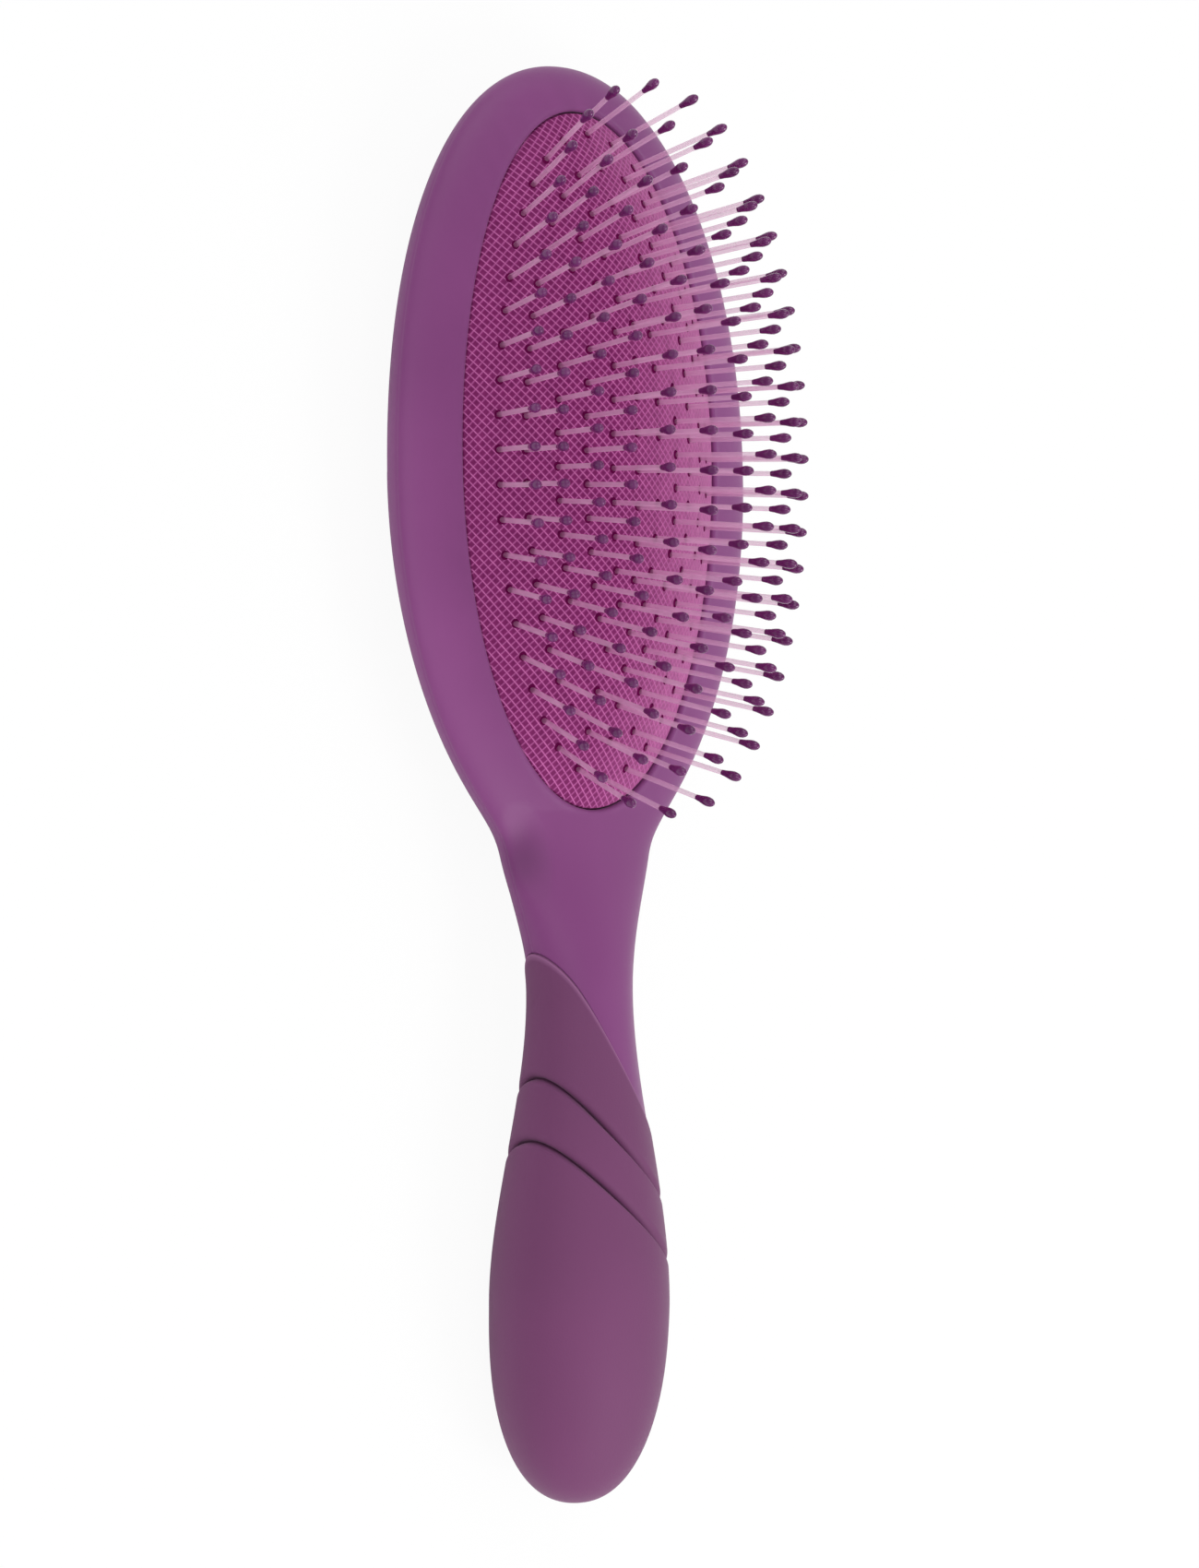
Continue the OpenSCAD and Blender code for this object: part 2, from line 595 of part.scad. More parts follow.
// Half of the oval slice of facing in the middle, from angle k0
module middle_slice(k0) {
    o = slice_oval(4);
    n = slice_turns;
    half = n / 2;
    top = [for (k = [0:n]) band_point(o[0], o[1], o[2], slice_angle(k0 + k), 0)];
    low = [for (k = [0:n]) band_point(o[0], o[1], o[2], slice_angle(k0 + k), net_t)];
    ridge = [for (k = [0:half - 1]) let (x = (top[k].x + top[n - k].x) / 2) [x, 0, face_z(x, 0)]];
    under = [for (p = ridge) [p.x, p.y, p.z - net_t]];
    loops = [for (k = [0:half - 1]) [low[k], under[k], low[n - k], top[n - k], ridge[k], top[k]]];
    skin([for (loop = loops) loop], last = (top[half] + low[half]) / 2);
}

// A bristle's tip: a drop that swells from the bristle and rounds off
belly_share = 0.64;
module tip() {
    sides = 6;
    belly = [for (k = [0:sides - 1])
        [tip_d / 2 * cos(360 * k / sides), tip_d / 2 * sin(360 * k / sides), tip_l * belly_share]];
    neck = [for (k = [0:sides - 1])
        [tip_neck_d / 2 * cos(360 * k / sides), tip_neck_d / 2 * sin(360 * k / sides), 0]];
    polyhedron(
        points = concat(neck, belly, [[0, 0, tip_l]]),
        faces = concat(
            [[for (k = [0:sides - 1]) k]],
            [for (k = [0:sides - 1]) [k, sides + k, sides + (k + 1) % sides]],
            [for (k = [0:sides - 1]) [k, sides + (k + 1) % sides, (k + 1) % sides]],
            [for (k = [0:sides - 1]) [sides + k, 2 * sides, sides + (k + 1) % sides]]
        )
    );
}

module tips(i, head) {
    color("#4b2850")
    for (p = half_places(i, head)) at_bristle(p) translate([0, 0, bristle_l - tip_l]) tip();
}

// Places along the sleeve where its skin changes: its rounded edge and its grooves
lip_shares = [0, 0.25, 0.6, 1];
sharp_lip_shares = [1, 0.35, 0];
function groove_steps(g) = concat(
    [for (s = sharp_lip_shares) g - groove_w / 2 - sharp_lip_w * s],
    [for (s = lip_shares) g + groove_w / 2 + lip_w * s]);
function groove_share(c) = max([for (g = groove_places)
    let (u = (abs(c - g) - groove_w / 2) / (c > g ? lip_w : sharp_lip_w))
    u <= 0 ? 1 : u >= 1 ? 0 : 1 - sqrt(1 - pow(1 - u, 2))]);
edge_round = 0.8;
edge_shares = [1, 0.5, 0.15, 0];
function edge_share(c) = let (u = (grip_x - snug - c) / edge_round)
    u >= 1 ? 0 : 1 - sqrt(1 - pow(1 - max(u, 0), 2));

function sleeve_point(c, t, out, low = 0) = let (x = slant_x(c, t), p = body_point(x, t, 0), m = mid_z(x),
        r = norm([p.y, p.z - m]))
    [x, p.y * (1 + out / r), max(low, m + (p.z - m) * (1 + out / r))];
function sleeve_out(c) = grip_proud * smooth((c - bulb_x) / (grip_x - bulb_x))
    - groove_d * groove_share(c) - edge_round * edge_share(c);

// Rubber sleeve over the whole handle, with a slanting edge and two slanting grooves
module grip_sleeve() {
    first_groove = groove_steps(groove_places[1]);
    second_groove = groove_steps(groove_places[0]);
    last = len(second_groove) - 1;
    outer = concat(
        [for (i = [bulb_steps - 1:-1:1]) mix(bulb_x, end_x, sin(90 * i / bulb_steps))],
        steps(bulb_x, first_groove[0] - overrun, 2),
        first_groove, second_groove,
        steps(second_groove[last] + overrun, grip_x - edge_round - overrun, 3),
        [for (s = edge_shares) grip_x - snug - edge_round * s]);
    inset = grip_t - snug;
    inner = core_places(inset);
    color("#74436d")
    skin(concat(
            [for (c = outer) [for (t = all_angles) sleeve_point(c, t, sleeve_out(c))]],
            [for (i = [len(inner) - 1:-1:0]) let (c = min(inner[i], grip_x - snug))
                [for (t = all_angles) body_point(slant_x(c, t), t, inset, inset)]]),
        first = [end_x, 0, mid_z(end_x)],
        last = [end_x + inset, 0, mid_z(end_x + inset)]);
}

front_frame();
back_shell();
pad_clamp_ring();
cushion_pad();
net_margin();
grip_sleeve();
for (i = [0:3], head = [true, false]) {
    half = head ? "head" : "handle";
    bristles(i, head);
    tips(i, head);
}
bristles(4, true);  // bristles_middle_head
bristles(4, false);  // bristles_middle_handle
tips(4, true);  // tips_middle_head
tips(4, false);  // tips_middle_handle
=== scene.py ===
"""Detangling brush: oval head with a net-faced cushion, long tipped bristles, and a soft sleeved handle.

Lengths below are in millimetres, in the part's own frame: X along the brush to the head's end, Y across,
Z out of the bristle face, z = 0 where the brush lies. Meshes are scaled to metres as they are made.
"""
import math
import random

import bpy
import numpy as np
from mathutils import Matrix, Vector


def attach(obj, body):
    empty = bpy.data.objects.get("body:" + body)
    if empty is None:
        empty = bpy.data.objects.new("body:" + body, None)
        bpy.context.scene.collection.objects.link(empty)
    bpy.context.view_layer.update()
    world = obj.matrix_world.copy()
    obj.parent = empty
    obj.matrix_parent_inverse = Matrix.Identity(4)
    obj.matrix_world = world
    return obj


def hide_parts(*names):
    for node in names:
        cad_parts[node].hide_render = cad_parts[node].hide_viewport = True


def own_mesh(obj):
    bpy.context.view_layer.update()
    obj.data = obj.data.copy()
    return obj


MM = 0.001
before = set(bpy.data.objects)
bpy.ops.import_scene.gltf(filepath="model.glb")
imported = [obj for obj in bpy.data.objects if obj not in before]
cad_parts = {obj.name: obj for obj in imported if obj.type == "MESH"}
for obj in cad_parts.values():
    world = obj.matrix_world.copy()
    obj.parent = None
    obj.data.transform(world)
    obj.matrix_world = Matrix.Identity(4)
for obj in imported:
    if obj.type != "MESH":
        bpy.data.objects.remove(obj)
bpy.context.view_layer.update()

# Sizes of the body, as in the part
TIP, END = 114.5, -114.5
HEAD_X, NECK_X, BULB_X = 49.0, -33.0, -83.0
PART_Z, LAND = 13.9, 0.35
HEAD_HALF, HEAD_REACH, HEAD_CURL = 37.5, 61.0, 2.8
NECK_HALF, NECK_RISE, NECK_DEPTH = 9.3, 7.6, 6.4
FLARE, FLARE_L = 6.6, 28.0
BULB_HALF, BULB_RISE, HANDLE_CURL = 15.4, 12.0, 1.7
PAD_X, PAD_RX, PAD_RY = 51.4, 55.5, 27.3
RIM, SINK, CROWN = 4.2, 0.6, 11.2
RIM_HEAD, RIM_NECK = PAD_X + PAD_RX, PAD_X - PAD_RX
BACK_DEPTH = PART_Z + LAND

# Powers that round the ends of the outlines, blend head and neck, and shape the pad's crown
HEAD_POWER, BACK_POWER, BULB_POWER, BLEND_POWER = 2.1, 2.3, 2.3, 6
HEAD_CURL_POWER, HANDLE_CURL_POWER = 2, 1.2
CROWN_TO_HEAD, CROWN_TO_NECK, CROWN_TO_SIDE = 3.0, 2.2, 2.0

# The sleeve's slanting edge and grooves, and the place where the neck's own rings begin
GRIP_X, EDGE_SLANT, GROOVE_SLANT, SLANT_TURN = -43.3, 16.7, 11.4, math.radians(-3)
GROOVES, GROOVE_W, GROOVE_D, LIP_W, SHARP_LIP_W = (-57.8, -67.7), 0.25, 1.5, 1.9, 0.7
PROUD, EDGE_ROUND, SLEEVE_GAP = 0.4, 0.45, 0.05
JOIN_X = -12.0

# The bristles: each oval's count and its width as a share of the outer oval, then the row along the middle
OVAL_X, OVAL_RX, OVAL_RY, OVAL_STEP = 52.1, 51.1, 22.6, 5.7
OVALS = ((44, 1.0), (40, 0.839), (34, 0.634), (28, 0.435), (22, 0.224))
ROW_COUNT, ROW_GAP = 8, 8.2
BRISTLE_L, TIP_L, TIP_R, SHAFT_R = 17.7, 3.3, 0.8, 0.42
LEAN_SIDE, LEAN_HEAD, LEAN_HANDLE, LEAN_MIDDLE = 23.0, 22.7, 20.1, -1.9
LEAN_REACH, LEAN_BEND = 0.4 * OVAL_RY, 0.33

# The camera at the photograph's angle: its tilt, its roll, how far off it is and where it aims
CAMERA_TILT, CAMERA_ROLL = math.radians(43.4), 0.0100
CAMERA_AWAY, AIM_ASIDE = 850.0, 3.55
FOCAL_PIXELS, FRAME_PIXELS = 5788.0, 1700.0
SENSOR, CLIP_NEAR, CLIP_FAR = 36.0, 0.01, 50.0


def photo_camera():
    """Looks at the brush's side from above, with the head's end up in the picture."""
    right = Vector((0.0, -math.cos(CAMERA_TILT), math.sin(CAMERA_TILT)))
    back = Vector((0.0, math.sin(CAMERA_TILT), math.cos(CAMERA_TILT)))
    up = Vector((1.0, 0.0, 0.0))
    data = bpy.data.cameras.new("photo_camera")
    data.sensor_fit = "VERTICAL"
    data.sensor_height = SENSOR
    data.lens = SENSOR * FOCAL_PIXELS / FRAME_PIXELS
    data.clip_start = CLIP_NEAR
    data.clip_end = CLIP_FAR
    camera = bpy.data.objects.new("photo_camera", data)
    bpy.context.scene.collection.objects.link(camera)
    rolled_right = math.cos(CAMERA_ROLL) * right - math.sin(CAMERA_ROLL) * up
    rolled_up = math.cos(CAMERA_ROLL) * up + math.sin(CAMERA_ROLL) * right
    turn = Matrix((rolled_right, rolled_up, back)).transposed().to_4x4()
    aim = Vector((0.0, 0.0, PART_Z)) + AIM_ASIDE * right
    camera.matrix_world = Matrix.Translation((aim + CAMERA_AWAY * back) * MM) @ turn
    bpy.context.scene.camera = camera


# The body's shape
def smooth(u):
    u = min(1.0, max(0.0, u))
    return u * u * (3 - 2 * u)


def oval(u, power):
    """Half width of a rounded end of half width 1, at the share u of its length."""
    return 0.0 if u >= 1 else (1 - max(u, 0.0) ** power) ** (1 / power)


def mid_z(x):
    """Height of the parting line, which curls down at both ends of the brush."""
    to_head = max(0.0, (x - HEAD_X) / (TIP - HEAD_X))
    to_end = max(0.0, (BULB_X - x) / (BULB_X - END))
    return PART_Z - HEAD_CURL * to_head ** HEAD_CURL_POWER - HANDLE_CURL * to_end ** HANDLE_CURL_POWER


def half_w(x):
    """Half width of the body."""
    if x >= HEAD_X:
        return HEAD_HALF * oval((x - HEAD_X) / (TIP - HEAD_X), HEAD_POWER)
    if x <= BULB_X:
        return BULB_HALF * oval((BULB_X - x) / (BULB_X - END), BULB_POWER)
    if x <= NECK_X:
        return NECK_HALF + (BULB_HALF - NECK_HALF) * smooth((NECK_X - x) / (NECK_X - BULB_X))
    head = HEAD_HALF * oval((HEAD_X - x) / HEAD_REACH, 2)
    neck = NECK_HALF + FLARE * smooth((x - NECK_X) / FLARE_L)
    return (head ** BLEND_POWER + neck ** BLEND_POWER) ** (1 / BLEND_POWER)


def rise(x):
    """Height of the body above the parting line."""
    if x >= RIM_HEAD:
        return RIM * oval((x - RIM_HEAD) / (TIP - RIM_HEAD), 2)
    if x >= RIM_NECK:
        opening = PAD_RY * oval(abs(x - PAD_X) / PAD_RX, 2)
        return RIM / math.sqrt(1 - (opening / half_w(x)) ** 2)
    if x >= NECK_X:
        return RIM + (NECK_RISE - RIM) * smooth((RIM_NECK - x) / (RIM_NECK - NECK_X))
    if x >= BULB_X:
        return NECK_RISE + (BULB_RISE - NECK_RISE) * smooth((NECK_X - x) / (NECK_X - BULB_X))
    return BULB_RISE * oval((BULB_X - x) / (BULB_X - END), BULB_POWER)


BULB_DEPTH = mid_z(BULB_X) + LAND


def depth(x):
    """Depth of the body below the parting line."""
    if x >= HEAD_X:
        return BACK_DEPTH * math.sqrt(max(0.0, 1 - ((x - HEAD_X) / (TIP - HEAD_X)) ** BACK_POWER))
    if x >= NECK_X:
        return NECK_DEPTH + (BACK_DEPTH - NECK_DEPTH) * smooth((x - NECK_X) / (HEAD_X - NECK_X))
    if x >= BULB_X:
        return NECK_DEPTH + (BULB_DEPTH - NECK_DEPTH) * smooth((NECK_X - x) / (NECK_X - BULB_X))
    return BULB_DEPTH * oval((BULB_X - x) / (BULB_X - END), BULB_POWER)


def body_point(x, t, out=0.0):
    """A point of the body's skin at angle t round the brush, moved out along the spoke by out."""
    s = math.sin(t)
    y = half_w(x) * math.cos(t)
    z = (rise(x) if s >= 0 else depth(x)) * s
    if out:
        r = math.hypot(y, z) or 1.0
        y, z = y * (1 + out / r), z * (1 + out / r)
    return x, y, max(0.0, mid_z(x) + z)


def top_z(x, y):
    """Height of the body's upper skin."""
    return mid_z(x) + rise(x) * math.sqrt(max(0.0, 1 - (y / max(half_w(x), 1e-6)) ** 2))


def face_z(x, y):
    """Height of the pad's face."""
    u, v = (x - PAD_X) / PAD_RX, y / PAD_RY
    r2 = min(1.0, u * u + v * v)
    along = CROWN_TO_HEAD if u > 0 else CROWN_TO_NECK
    power = CROWN_TO_SIDE if r2 == 0 else (along * u * u + CROWN_TO_SIDE * v * v) / (u * u + v * v)
    return mid_z(x) + RIM - SINK + CROWN * (1 - r2 ** (power / 2))


def face_normal(x, y):
    """The way the pad's face looks, from its slopes."""
    e = 0.05
    slope_x = (face_z(x + e, y) - face_z(x - e, y)) / (2 * e)
    slope_y = (face_z(x, y + e) - face_z(x, y - e)) / (2 * e)
    return Vector((-slope_x, -slope_y, 1.0)).normalized()


# Mesh helpers
def mesh_object(name, verts, faces):
    mesh = bpy.data.meshes.new(name)
    mesh.from_pydata([(x * MM, y * MM, z * MM) for x, y, z in verts], [], faces)
    mesh.update()
    mesh.polygons.foreach_set("use_smooth", [True] * len(mesh.polygons))
    obj = bpy.data.objects.new(name, mesh)
    bpy.context.scene.collection.objects.link(obj)
    return obj


def grid_faces(rows, cols, wrap=False, flip=False, start=0):
    """Faces between rows of points that follow each other from the point numbered start."""
    out = []
    for i in range(rows - 1):
        for j in range(cols if wrap else cols - 1):
            a, b = start + i * cols + j, start + i * cols + (j + 1) % cols
            q = (a, b, b + cols, a + cols)
            out.append(q[::-1] if flip else q)
    return out


def spread(a, b, n, skip=False):
    """From a to b in n even steps, without a itself where skip is set."""
    return [a + (b - a) * i / n for i in range(1 if skip else 0, n + 1)]


def quarter(i, n):
    """The i-th of n steps along a quarter of a sine, which lie closer and closer together."""
    return math.sin(math.pi / 2 * i / n)


def finish_piece(obj, body, material, *nodes):
    obj.data.materials.clear()
    obj.data.materials.append(material)
    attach(obj, body)
    if nodes:
        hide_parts(*nodes)
    return obj


# Material helpers
def new_material(name):
    mat = bpy.data.materials.new(name)
    mat.use_nodes = True
    tree = mat.node_tree
    tree.nodes.clear()
    out = tree.nodes.new("ShaderNodeOutputMaterial")
    shader = tree.nodes.new("ShaderNodeBsdfPrincipled")
    tree.links.new(shader.outputs[0], out.inputs[0])
    return mat, tree, shader


def set_sockets(shader, values):
    for name, value in values.items():
        shader.inputs[name].default_value = value


def node(tree, kind, **values):
    n = tree.nodes.new(kind)
    for key, value in values.items():
        if key in n.inputs:
            n.inputs[key].default_value = value
        else:
            setattr(n, key, value)
    return n


def math_node(tree, operation, *values, kind="ShaderNodeMath"):
    """A maths node, with each value set on its socket, or linked to it where it is another node's output."""
    n = node(tree, kind, operation=operation)
    for socket, value in zip(n.inputs, values):
        if isinstance(value, bpy.types.NodeSocket):
            tree.links.new(value, socket)
        else:
            socket.default_value = value
    return n.outputs["Value" if kind == "ShaderNodeMath" or operation == "LENGTH" else "Vector"]


def vector_node(tree, operation, *values):
    return math_node(tree, operation, *values, kind="ShaderNodeVectorMath")


def eased(tree, value, low, high, top=1.0):
    """Goes smoothly from 0 to top while the value goes from low to high."""
    n = node(tree, "ShaderNodeMapRange", interpolation_type="SMOOTHSTEP")
    set_sockets(n, {"From Min": low, "From Max": high, "To Max": top})
    tree.links.new(value, n.inputs["Value"])
    return n.outputs[0]


def laid_over(tree, factor, under, over):
    """Lays a colour, or another node's colour, over the one below."""
    n = node(tree, "ShaderNodeMix", data_type="RGBA")
    tree.links.new(factor, n.inputs["Factor"])
    tree.links.new(under, n.inputs["A"])
    if isinstance(over, bpy.types.NodeSocket):
        tree.links.new(over, n.inputs["B"])
    else:
        n.inputs["B"].default_value = (*over, 1)
    return n.outputs["Result"]


def between(tree, fac, low, high):
    """A colour from low to high over the middle of the factor's range, where most of a noise lies."""
    n = tree.nodes.new("ShaderNodeValToRGB")
    for element, place, colour in zip(n.color_ramp.elements, (0.3, 0.7), (low, high)):
        element.position = place
        element.color = (*colour, 1)
    tree.links.new(fac, n.inputs[0])
    return n.outputs[0]


def noise(tree, coords, scale):
    n = node(tree, "ShaderNodeTexNoise", Scale=scale, Detail=2.0, Roughness=0.5)
    tree.links.new(coords, n.inputs["Vector"])
    return n.outputs["Fac"]


def lin(*levels):
    """An sRGB colour from 0 to 255 as linear light."""
    shares = [level / 255 for level in levels]
    return tuple(s / 12.92 if s <= 0.04045 else ((s + 0.055) / 1.055) ** 2.4 for s in shares)


def grain_group():
    """Fine grain of a moulded surface: uneven gloss and a slight relief."""
    group = bpy.data.node_groups.new("moulded_grain", "ShaderNodeTree")
    for name, value in (("Scale", 2600.0), ("Rough Low", 0.4), ("Rough High", 0.5), ("Relief", 0.25)):
        socket = group.interface.new_socket(name=name, in_out="INPUT", socket_type="NodeSocketFloat")
        socket.default_value = value
    group.interface.new_socket(name="Roughness", in_out="OUTPUT", socket_type="NodeSocketFloat")
    group.interface.new_socket(name="Normal", in_out="OUTPUT", socket_type="NodeSocketVector")
    given = group.nodes.new("NodeGroupInput")
    result = group.nodes.new("NodeGroupOutput")
    coords = node(group, "ShaderNodeTexCoord").outputs["Object"]
    fine = node(group, "ShaderNodeTexNoise", Detail=2.0, Roughness=0.6)
    group.links.new(coords, fine.inputs["Vector"])
    group.links.new(given.outputs["Scale"], fine.inputs["Scale"])
    gloss = node(group, "ShaderNodeMapRange")
    group.links.new(fine.outputs["Fac"], gloss.inputs["Value"])
    group.links.new(given.outputs["Rough Low"], gloss.inputs["To Min"])
    group.links.new(given.outputs["Rough High"], gloss.inputs["To Max"])
    group.links.new(gloss.outputs[0], result.inputs["Roughness"])
    relief = node(group, "ShaderNodeBump", Distance=0.00004)
    group.links.new(fine.outputs["Fac"], relief.inputs["Height"])
    group.links.new(given.outputs["Relief"], relief.inputs["Strength"])
    group.links.new(relief.outputs[0], result.inputs["Normal"])
    return group


# Materials of the body, the sleeve, the inner ring and the root holes, whose dark plugs are painted shade
GRAIN = grain_group()
BODY_DRIFT = 22.0
MOULD_SPECULAR, MOULD_SHEEN = 0.25, 0.1
# painted shade: a darker patch in the body's colour over the thumb scoop, where the dip's shade falls
SCOOP_SHADE_AT, SCOOP_SHADE_SIZE, SCOOP_SHADE_TONE = (-11.5, 13.6, 15.9), (6.0, 4.4, 4.4), lin(84, 34, 80)
SCOOP_SHADE_FAINT, SCOOP_SHADE_FULL = 1.15, 0.1


def add_grain(tree, shader, scale, rough, relief):
    grain = tree.nodes.new("ShaderNodeGroup")
    grain.node_tree = GRAIN
    set_sockets(grain, {"Scale": scale, "Rough Low": rough[0], "Rough High": rough[1], "Relief": relief})
    tree.links.new(grain.outputs["Roughness"], shader.inputs["Roughness"])
    tree.links.new(grain.outputs["Normal"], shader.inputs["Normal"])


def add_mask(tree, colour, attribute, tone, amount):
    """Lays a tone over the colour where the mesh's own attribute is high."""
    marked = node(tree, "ShaderNodeAttribute", attribute_name=attribute).outputs["Fac"]
    return laid_over(tree, math_node(tree, "MULTIPLY", marked, amount), colour, tone)


def add_scoop_shade(tree, coords, colour, amount):
    """Painted shade: a faint darker patch where the thumb lies in the scoop, standing in for the dip's
    shade.
    """
    away = vector_node(tree, "SUBTRACT", coords, [v * MM for v in SCOOP_SHADE_AT])
    shrunk = vector_node(tree, "DIVIDE", away, [v * MM for v in SCOOP_SHADE_SIZE])
    near = eased(tree, vector_node(tree, "LENGTH", shrunk), SCOOP_SHADE_FAINT, SCOOP_SHADE_FULL, amount)
    return laid_over(tree, near, colour, SCOOP_SHADE_TONE)


def moulded(name, low, high, rough, grain, relief, masks=(), scoop_shade=0.0, matt=False):
    """Moulded plastic or rubber: a slow drift of colour and a fine grain, under any painted highlight and
    shade laid on by the masks and the scoop's patch.
    """
    mat, tree, shader = new_material(name)
    coords = node(tree, "ShaderNodeTexCoord").outputs["Object"]
    colour = between(tree, noise(tree, coords, BODY_DRIFT), low, high)
    for attribute, tone, amount in masks:
        colour = add_mask(tree, colour, attribute, tone, amount)
    if scoop_shade:
        colour = add_scoop_shade(tree, coords, colour, scoop_shade)
    tree.links.new(colour, shader.inputs["Base Color"])
    add_grain(tree, shader, grain, rough, relief)
    set_sockets(shader, {"Specular IOR Level": 0.0 if matt else MOULD_SPECULAR,
                         "Sheen Weight": 0.0 if matt else MOULD_SHEEN,
                         "Sheen Roughness": 0.5})
    return mat


# the body's colour carries the painted shade of the thumb scoop
def body_plastic(name):
    return moulded(name, lin(123, 60, 117), lin(136, 69, 129), (0.42, 0.52), 2600.0, 0.25, scoop_shade=0.5)


body_mat = body_plastic("satin_body_plastic")
back_mat = body_plastic("satin_back_plastic")
# the sleeve's colour carries a painted highlight along its rounded edge and painted shade in the bottoms of
# its grooves
grip_mat = moulded("soft_grip_rubber", lin(108, 57, 98), lin(118, 62, 107), (0.58, 0.7), 3400.0, 0.5,
                   masks=(("rim", lin(168, 112, 158), 0.6), ("groove", lin(62, 24, 54), 0.85)))
ring_mat = moulded("inner_ring_plastic", lin(90, 45, 84), lin(98, 50, 92), (0.5, 0.6), 1800.0, 0.2)
# painted shade: the root holes' dark plugs stand in for the shade inside the holes
hole_shade_mat = moulded("painted_root_hole_shade", lin(88, 8, 62), lin(100, 16, 72), (0.8, 0.95), 3000.0, 0.2, matt=True)

# The net's cells, how far it wanders and is squeezed at the sides, where yarn and thread begin and are full,
# how dim the threads of the second way are, and how strongly the painted sheen and light on its far side
# shows
NET_CELL_X, NET_CELL_Y = 1.42, 1.44
NET_WANDER, NET_SQUEEZE = 0.6, 0.11
YARN, THREAD, DIM_THREAD, DIM_SHARE = (0.0, 0.85), (0.85, 0.995), (0.84, 0.99), 0.5
PAINTED_SHEEN_FROM, PAINTED_SHEEN_TO, PAINTED_SHEEN_AMOUNT = -6.0, 22.0, 0.8


def net_material():
    """Fine net over a dark rubber pad: thin bright threads over broader yarn, with dark cells between."""
    mat, tree, shader = new_material("net_faced_pad")
    coords = node(tree, "ShaderNodeTexCoord").outputs["Object"]
    wander = node(tree, "ShaderNodeTexNoise", Scale=45.0, Detail=1.0)
    tree.links.new(coords, wander.inputs["Vector"])
    shift = node(tree, "ShaderNodeVectorMath", operation="SCALE", Scale=NET_WANDER * MM)
    tree.links.new(wander.outputs["Color"], shift.inputs[0])
    split = node(tree, "ShaderNodeSeparateXYZ")
    tree.links.new(vector_node(tree, "ADD", coords, shift.outputs[0]), split.inputs[0])
    x, y = split.outputs["X"], split.outputs["Y"]

    # the net is stretched over the crown, so its cells narrow towards the sides
    to_side = math_node(tree, "ABSOLUTE", math_node(tree, "DIVIDE", y, PAD_RY * MM))
    squeeze = math_node(tree, "MULTIPLY_ADD", math_node(tree, "POWER", to_side, 2.0), NET_SQUEEZE, 1.0)
    x_turns = math_node(tree, "MULTIPLY", x, 2 * math.pi / (NET_CELL_X * MM))
    y_turns = math_node(tree, "MULTIPLY", math_node(tree, "MULTIPLY", y, squeeze),
                        2 * math.pi / (NET_CELL_Y * MM))
    one = math_node(tree, "COSINE", math_node(tree, "ADD", x_turns, y_turns))
    two = math_node(tree, "COSINE", math_node(tree, "SUBTRACT", x_turns, y_turns))
    yarn = math_node(tree, "MAXIMUM", eased(tree, one, *YARN), eased(tree, two, *YARN))
    dim = math_node(tree, "MULTIPLY", eased(tree, one, *DIM_THREAD), DIM_SHARE)
    thread = math_node(tree, "MAXIMUM", eased(tree, two, *THREAD), dim)

    uneven = noise(tree, coords, 900.0)
    cell_colour = between(tree, uneven, lin(114, 26, 88), lin(128, 36, 100))
    yarn_colour = between(tree, uneven, lin(138, 48, 112), lin(152, 58, 124))
    thread_colour = between(tree, uneven, lin(190, 98, 164), lin(212, 120, 184))
    painted_sheen_colour = between(tree, uneven, lin(184, 100, 158), lin(198, 112, 170))
    net_colour = laid_over(tree, yarn, cell_colour, yarn_colour)
    net_colour = laid_over(tree, thread, net_colour, thread_colour)
    # painted sheen and light: the net turns lighter and plainer towards the far side
    far = math_node(tree, "MULTIPLY", y, -1.0)
    painted_sheen = math_node(tree, "MULTIPLY", eased(tree, far, PAINTED_SHEEN_FROM * MM, PAINTED_SHEEN_TO * MM), PAINTED_SHEEN_AMOUNT)
    tree.links.new(laid_over(tree, painted_sheen, net_colour, painted_sheen_colour), shader.inputs["Base Color"])

    set_sockets(shader, {"Roughness": 0.6, "Specular IOR Level": 0.12, "Sheen Weight": 0.2,
                         "Sheen Roughness": 0.4, "Sheen Tint": (0.85, 0.35, 0.7, 1)})
    relief = node(tree, "ShaderNodeBump", Strength=0.6, Distance=0.00012)
    tree.links.new(math_node(tree, "MULTIPLY_ADD", thread, 0.4, yarn), relief.inputs["Height"])
    tree.links.new(relief.outputs[0], shader.inputs["Normal"])
    return mat


def clear_material(name, low, high, rough, fixed):
    """Clear moulded plastic that drifts a little in colour and gloss."""
    mat, tree, shader = new_material(name)
    coords = node(tree, "ShaderNodeTexCoord").outputs["Object"]
    drift = noise(tree, coords, 230.0)
    tree.links.new(between(tree, drift, low, high), shader.inputs["Base Color"])
    gloss = node(tree, "ShaderNodeMapRange")
    set_sockets(gloss, {"To Min": rough[0], "To Max": rough[1]})
    tree.links.new(drift, gloss.inputs["Value"])
    tree.links.new(gloss.outputs[0], shader.inputs["Roughness"])
    set_sockets(shader, fixed)
    return mat


net_mat = net_material()
# painted light: the clear nylon's pink tint stands in for the pad's pink seen through and thrown back by the
# bristles
nylon_mat = clear_material("clear_nylon", lin(230, 174, 212), lin(240, 186, 222), (0.26, 0.34),
                           {"IOR": 1.4, "Alpha": 0.4})
tip_mat = clear_material("tip_resin", lin(86, 21, 80), lin(106, 35, 98), (0.08, 0.12),
                         {"IOR": 1.6, "Specular Tint": (1.0, 0.78, 1.0, 1), "Sheen Weight": 0.08,
                          "Sheen Roughness": 0.3, "Sheen Tint": (0.75, 0.35, 0.7, 1)})

